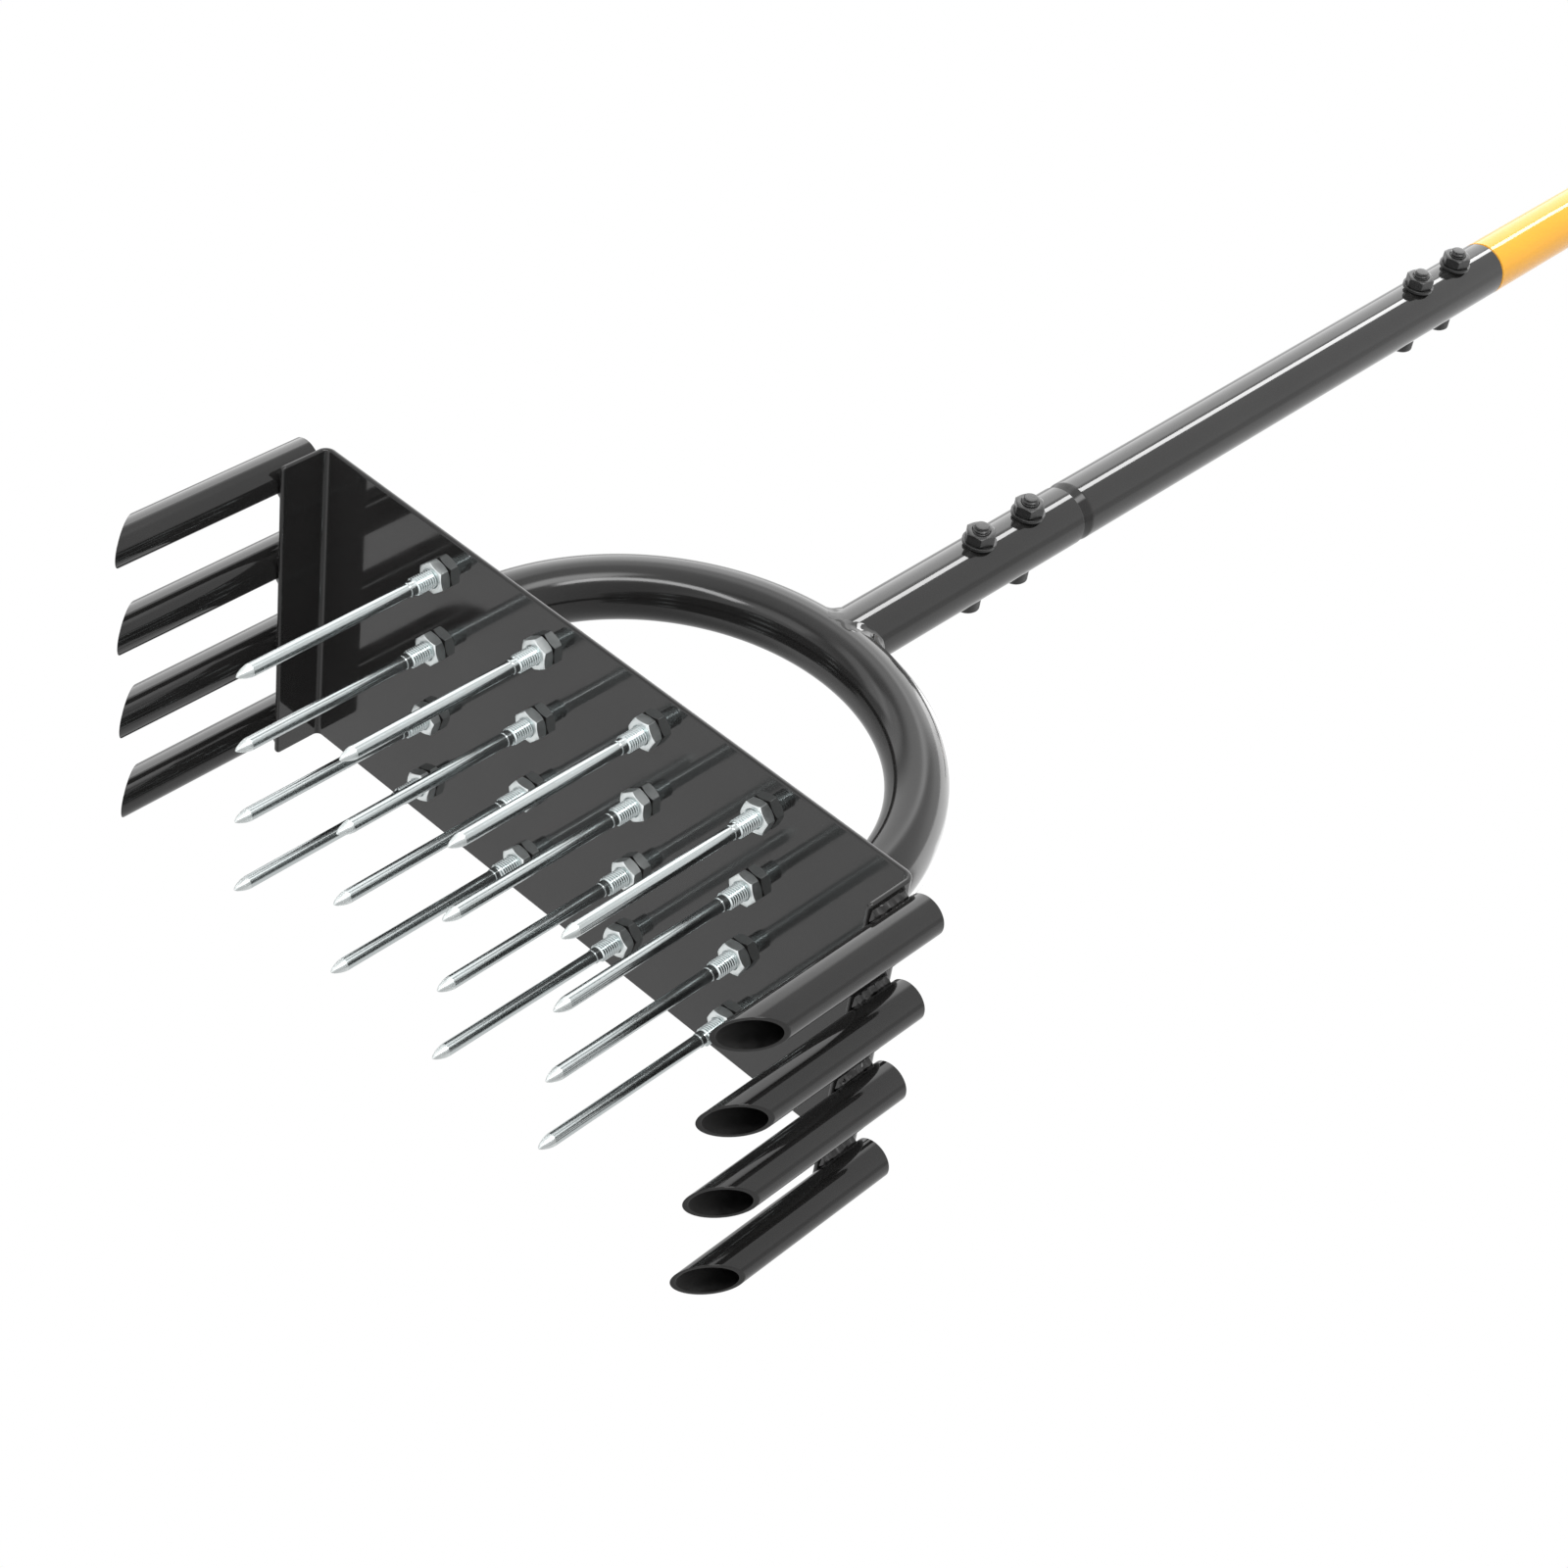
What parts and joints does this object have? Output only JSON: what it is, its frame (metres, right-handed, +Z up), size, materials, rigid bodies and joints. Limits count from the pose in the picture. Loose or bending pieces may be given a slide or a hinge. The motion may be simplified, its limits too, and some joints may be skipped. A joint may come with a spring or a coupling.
{
  "type": "manual lawn aerator",
  "caption": "Upright hand tool: folded plate with solid spikes, open coring tines welded at both ends, arched yoke and bolted tubular handle with a cross bar.",
  "frame": {"origin": "on the handle's axis, at the level of the tine tips that the tool stands on", "axes": "+Z up along the handle, +X along the head plate's length, +Y across it; the joint bolts' nuts are on the -Y side"},
  "size_m": [0.4562, 0.1954, 1.37],
  "materials": {
    "black_paint": "gloss black paint on steel",
    "yellow_paint": "gloss yellow paint on steel",
    "zinc_plating": "bright zinc plating, turned",
    "black_oxide": "black finished steel fasteners",
    "grip_rubber": "matt black ribbed rubber",
    "cap_plastic": "matt black moulded plastic"
  },
  "bodies": {
    "root": {"cross_bar": "yellow_paint", "cross_bar_welds": "yellow_paint", "hand_grip_left": "grip_rubber", "hand_grip_right": "grip_rubber", "handle_cap": "cap_plastic", "handle_socket": "black_paint", "head_plate": "black_paint", "lower_tube": "black_paint", "socket_joint_bolts": "black_oxide", "socket_joint_nuts": "black_oxide", "socket_joint_washers": "black_oxide", "socket_weld": "black_paint", "spike_a1": "zinc_plating", "spike_a2": "zinc_plating", "spike_a3": "zinc_plating", "spike_a4": "zinc_plating", "spike_b1": "zinc_plating", "spike_b2": "zinc_plating", "spike_b3": "zinc_plating", "spike_b4": "zinc_plating", "spike_c1": "zinc_plating", "spike_c2": "zinc_plating", "spike_c3": "zinc_plating", "spike_c4": "zinc_plating", "spike_d1": "zinc_plating", "spike_d2": "zinc_plating", "spike_d3": "zinc_plating", "spike_d4": "zinc_plating", "spike_nuts_back": "zinc_plating", "spike_nuts_front": "zinc_plating", "tine_left_1": "black_paint", "tine_left_2": "black_paint", "tine_left_3": "black_paint", "tine_left_4": "black_paint", "tine_right_1": "black_paint", "tine_right_2": "black_paint", "tine_right_3": "black_paint", "tine_right_4": "black_paint", "tine_welds_left": "black_paint", "tine_welds_right": "black_paint", "tube_joint_bolts": "black_oxide", "tube_joint_nuts": "black_oxide", "tube_joint_washers": "black_oxide", "upper_tube": "yellow_paint", "yoke": "black_paint", "yoke_welds": "black_paint"}
  },
  "joints": []
}
